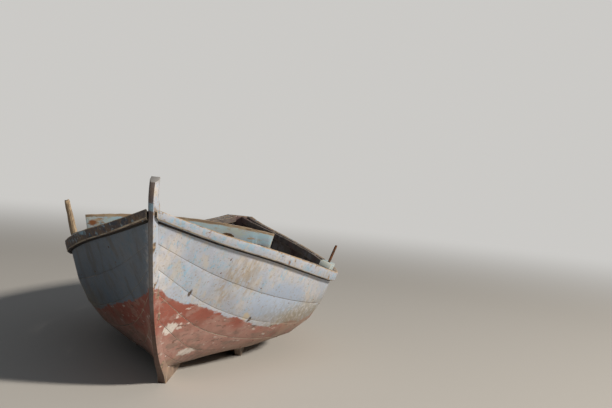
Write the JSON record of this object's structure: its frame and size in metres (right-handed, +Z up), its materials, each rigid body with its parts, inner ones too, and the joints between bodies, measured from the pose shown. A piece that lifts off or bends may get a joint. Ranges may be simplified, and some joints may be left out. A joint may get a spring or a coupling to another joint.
{
  "type": "plank-built wooden rowing boat",
  "caption": "Old plank-built open rowing boat with a raked stem, a raised board across the foredeck, thwarts, thole posts and a narrow transom stern.",
  "frame": {"origin": "bottom centre of the boat's box, on the ground under the keel", "axes": "+X forward to the stem, +Y to port, +Z up"},
  "size_m": [5.0668, 1.8461, 1.1825],
  "materials": {
    "hull_planks": "weathered pale blue-grey paint over brick-red bottom paint",
    "rails": "worn paint over brown timber",
    "backbone": "worn red paint over grey timber",
    "boards": "flaking light blue paint",
    "inside": "worn paint and bare boards",
    "bare_wood": "bare weathered stick",
    "iron": "rusty"
  },
  "bodies": {
    "root": {"bench_bearer_port": "inside", "bench_bearer_starboard": "inside", "bilge_runner_port": "backbone", "bilge_runner_starboard": "backbone", "bottom_boards": "inside", "breakwater": "boards", "deadwood": "backbone", "deck_beam": "inside", "fifth_strake_port": "hull_planks", "fifth_strake_starboard": "hull_planks", "floor_timbers": "inside", "foredeck": "inside", "fourth_strake_port": "hull_planks", "fourth_strake_starboard": "hull_planks", "garboard_port": "hull_planks", "garboard_starboard": "hull_planks", "inwale_port": "inside", "inwale_starboard": "inside", "keel": "backbone", "rail_port": "rails", "rail_starboard": "rails", "rib_feet_port": "inside", "rib_feet_starboard": "inside", "rib_heads_port": "inside", "rib_heads_starboard": "inside", "riser_port": "inside", "riser_starboard": "inside", "second_strake_port": "hull_planks", "second_strake_starboard": "hull_planks", "sheer_strake_port": "hull_planks", "sheer_strake_starboard": "hull_planks", "stem": "backbone", "stern_bench": "inside", "stern_post": "backbone", "third_strake_port": "hull_planks", "third_strake_starboard": "hull_planks", "thole_block_port": "boards", "thole_block_starboard": "boards", "thole_pin_port": "iron", "thole_post_starboard": "bare_wood", "thwart_aft": "inside", "thwart_fore": "inside", "thwart_middle": "inside", "transom": "hull_planks"}
  },
  "joints": []
}
